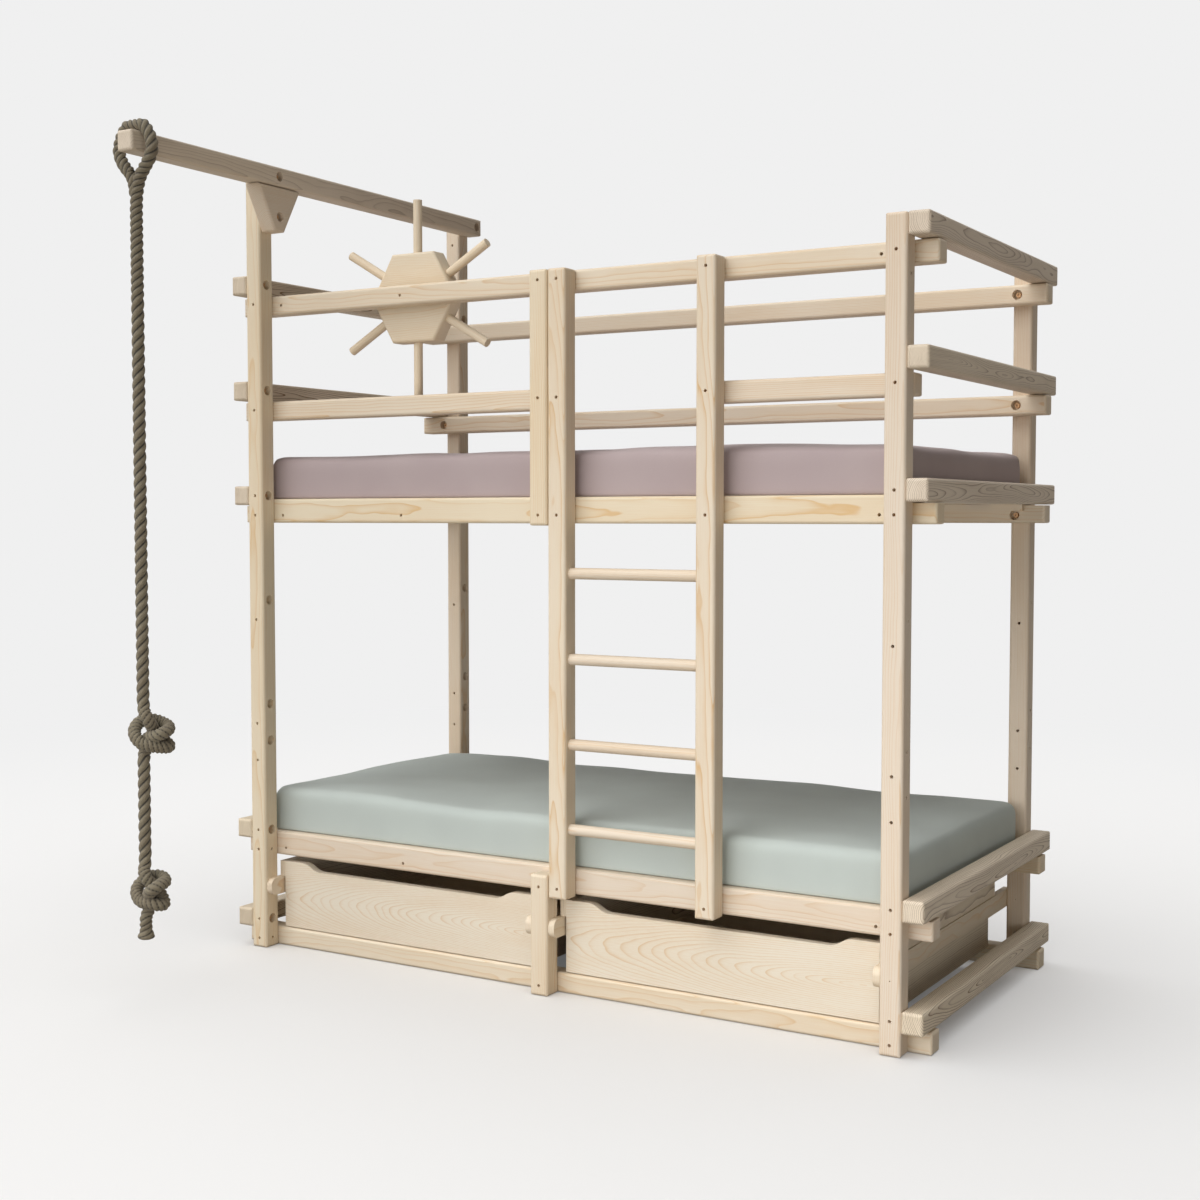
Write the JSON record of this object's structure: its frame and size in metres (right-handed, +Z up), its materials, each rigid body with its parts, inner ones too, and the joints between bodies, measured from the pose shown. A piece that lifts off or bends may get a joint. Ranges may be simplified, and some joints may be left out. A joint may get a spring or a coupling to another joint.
{
  "type": "bunk bed",
  "caption": "Bolted square-timber bunk bed with ladder, guard rails, two mattresses, sliding drawers under the lower bed, a play wheel and a knotted climbing rope on a gallows beam.",
  "frame": {"origin": "on the floor, in the middle of the frame's box without the rope", "axes": "+X along the bed to the right seen from the ladder side, +Y to the back, +Z up; the ladder, drawers and gallows face -Y"},
  "size_m": [2.141, 1.5827, 2.3122],
  "materials": {
    "pine_beam": "untreated, sanded",
    "pine_panel": "untreated glued board, sanded",
    "pine_slat": "untreated, planed",
    "pine_dowel": "untreated, turned",
    "mauve_cover": "smooth cotton jersey",
    "sage_cover": "smooth cotton jersey",
    "hemp_rope": "laid three-strand rope",
    "bolt_steel": "yellow zinc plated"
  },
  "bodies": {
    "frame": {"post_front_left": "pine_beam", "post_front_right": "pine_beam", "post_rear_left": "pine_beam", "post_rear_right": "pine_beam", "foot_post_front": "pine_beam", "foot_post_rear": "pine_beam", "end_beam_left_floor": "pine_beam", "end_beam_left_lower": "pine_beam", "end_beam_left_upper": "pine_beam", "end_beam_left_guard": "pine_beam", "end_beam_left_top": "pine_beam", "end_beam_right_floor": "pine_beam", "end_beam_right_lower": "pine_beam", "end_beam_right_upper": "pine_beam", "end_beam_right_guard": "pine_beam", "end_beam_right_top": "pine_beam", "floor_rail_front": "pine_beam", "floor_rail_rear": "pine_beam", "side_rail_lower_front": "pine_beam", "side_rail_lower_rear": "pine_beam", "side_rail_upper_front": "pine_beam", "side_rail_upper_rear": "pine_beam", "guard_rail_top_front": "pine_beam", "guard_rail_mid_left": "pine_beam", "guard_rail_mid_right": "pine_beam", "guard_rail_top_rear": "pine_beam", "guard_rail_mid_rear": "pine_beam", "ladder_upright_left": "pine_beam", "ladder_upright_right": "pine_beam", "ladder_short_upright": "pine_beam", "ladder_rungs": "pine_dowel", "gallows_beam": "pine_beam", "gallows_bracket": "pine_beam", "slat_ledgers_upper": "pine_slat", "slat_ledgers_lower": "pine_slat", "slats_upper": "pine_slat", "slats_lower": "pine_slat", "mattress_upper": "mauve_cover", "mattress_lower": "sage_cover", "drawer_runners_left": "pine_beam", "drawer_runners_right": "pine_beam", "wheel_axle_bolt": "bolt_steel", "wheel_spacer_washer": "bolt_steel", "bolts_across": "bolt_steel", "bolts_along": "bolt_steel", "climbing_rope": "hemp_rope"},
    "drawer_left": {"drawer_left_front": "pine_panel", "drawer_left_side_left": "pine_panel", "drawer_left_side_right": "pine_panel", "drawer_left_back": "pine_panel", "drawer_left_bottom": "pine_panel", "drawer_left_battens": "pine_panel"},
    "drawer_right": {"drawer_right_front": "pine_panel", "drawer_right_side_left": "pine_panel", "drawer_right_side_right": "pine_panel", "drawer_right_back": "pine_panel", "drawer_right_bottom": "pine_panel", "drawer_right_battens": "pine_panel"},
    "play_wheel": {"wheel_hub": "pine_panel", "wheel_spokes": "pine_dowel"}
  },
  "joints": [
    {"name": "drawer_left_slide", "type": "slide", "parent": "frame", "child": "drawer_left", "axis": [0, -1, 0], "range_m": [0, 0.46]},
    {"name": "drawer_right_slide", "type": "slide", "parent": "frame", "child": "drawer_right", "axis": [0, -1, 0], "range_m": [0, 0.6]},
    {"name": "play_wheel_spin", "type": "hinge", "parent": "frame", "child": "play_wheel", "pos_m": [-0.4925, -0.11, 1.8895], "axis": [0, 1, 0], "continuous": true}
  ]
}
